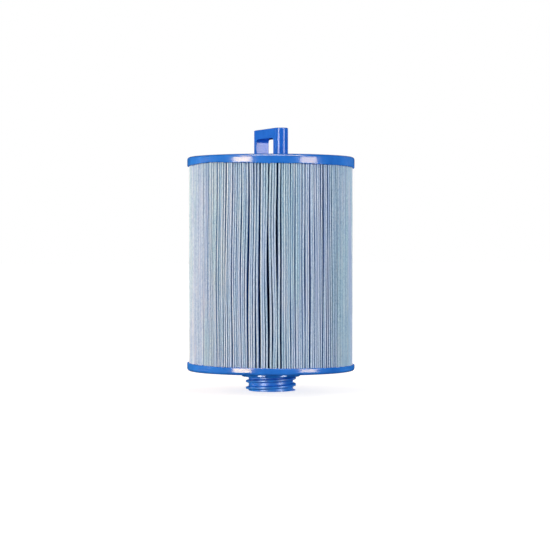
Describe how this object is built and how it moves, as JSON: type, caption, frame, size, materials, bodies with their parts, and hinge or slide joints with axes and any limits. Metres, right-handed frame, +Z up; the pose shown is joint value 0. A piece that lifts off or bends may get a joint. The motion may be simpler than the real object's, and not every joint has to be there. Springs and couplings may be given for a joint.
{
  "type": "filter cartridge",
  "caption": "Cylindrical pleated water filter cartridge with cast end caps, a loop handle on the closed end and a threaded outlet nipple.",
  "frame": {"origin": "centre of the threaded nipple's end face, the lowest point of the cartridge", "axes": "+Z up the cartridge's axis from the nipple to the handle; the handle's loop is long in X"},
  "size_m": [0.1524, 0.1524, 0.2378],
  "materials": {
    "moulded_plastic": "glossy mid-blue injection-moulded ABS",
    "cast_polyurethane": "smooth mid-blue cast polyurethane elastomer, semi-gloss",
    "core_plastic": "off-white moulded plastic lattice",
    "filter_media": "matt spunbonded polyester, pale blue-white with fine fibre mottling",
    "seam_adhesive": "translucent hot-melt adhesive"
  },
  "bodies": {
    "root": {"threaded_adapter": "moulded_plastic", "carry_handle": "moulded_plastic", "bottom_end_cap": "cast_polyurethane", "top_end_cap": "cast_polyurethane", "core_section_lower": "core_plastic", "core_section_upper": "core_plastic", "core_top_plug": "core_plastic", "pleated_media": "filter_media", "media_seam": "seam_adhesive"}
  },
  "joints": []
}
